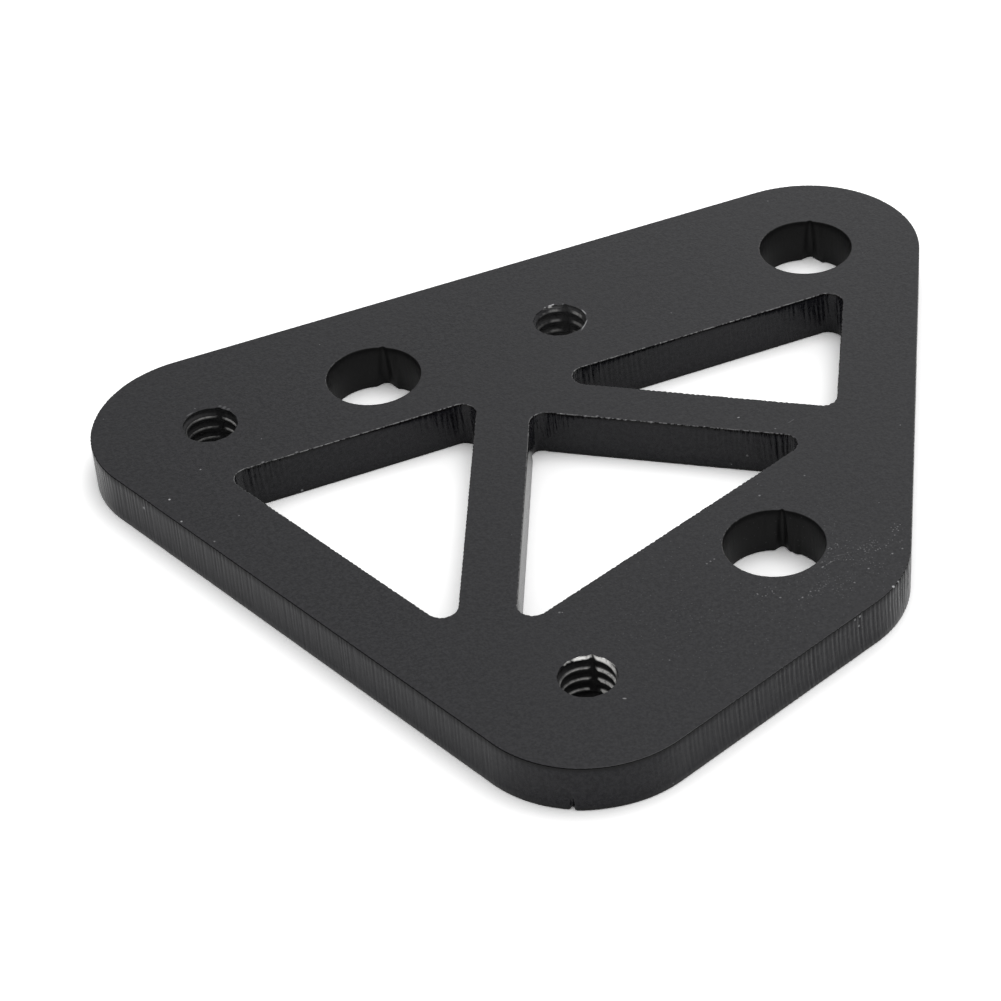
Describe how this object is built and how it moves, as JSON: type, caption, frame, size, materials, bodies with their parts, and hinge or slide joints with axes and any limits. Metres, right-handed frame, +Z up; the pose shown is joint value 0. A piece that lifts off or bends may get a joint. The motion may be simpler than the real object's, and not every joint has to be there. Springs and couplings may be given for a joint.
{
  "type": "throttle cable bracket",
  "caption": "Flat black bracket plate that holds a throttle cable: plain fixing holes, tapped holes and triangular windows between struts.",
  "frame": {"origin": "centre of the left fixing hole at the underside", "axes": "+X along the back row of holes towards the right fixing hole, +Y towards the back edge, +Z up through the plate to its top face"},
  "size_m": [0.0907, 0.0755, 0.005],
  "materials": {
    "powder_coat": "satin black powder coat on cut steel plate, with bare thread crests"
  },
  "bodies": {
    "root": {"bracket_plate": "powder_coat"}
  },
  "joints": []
}
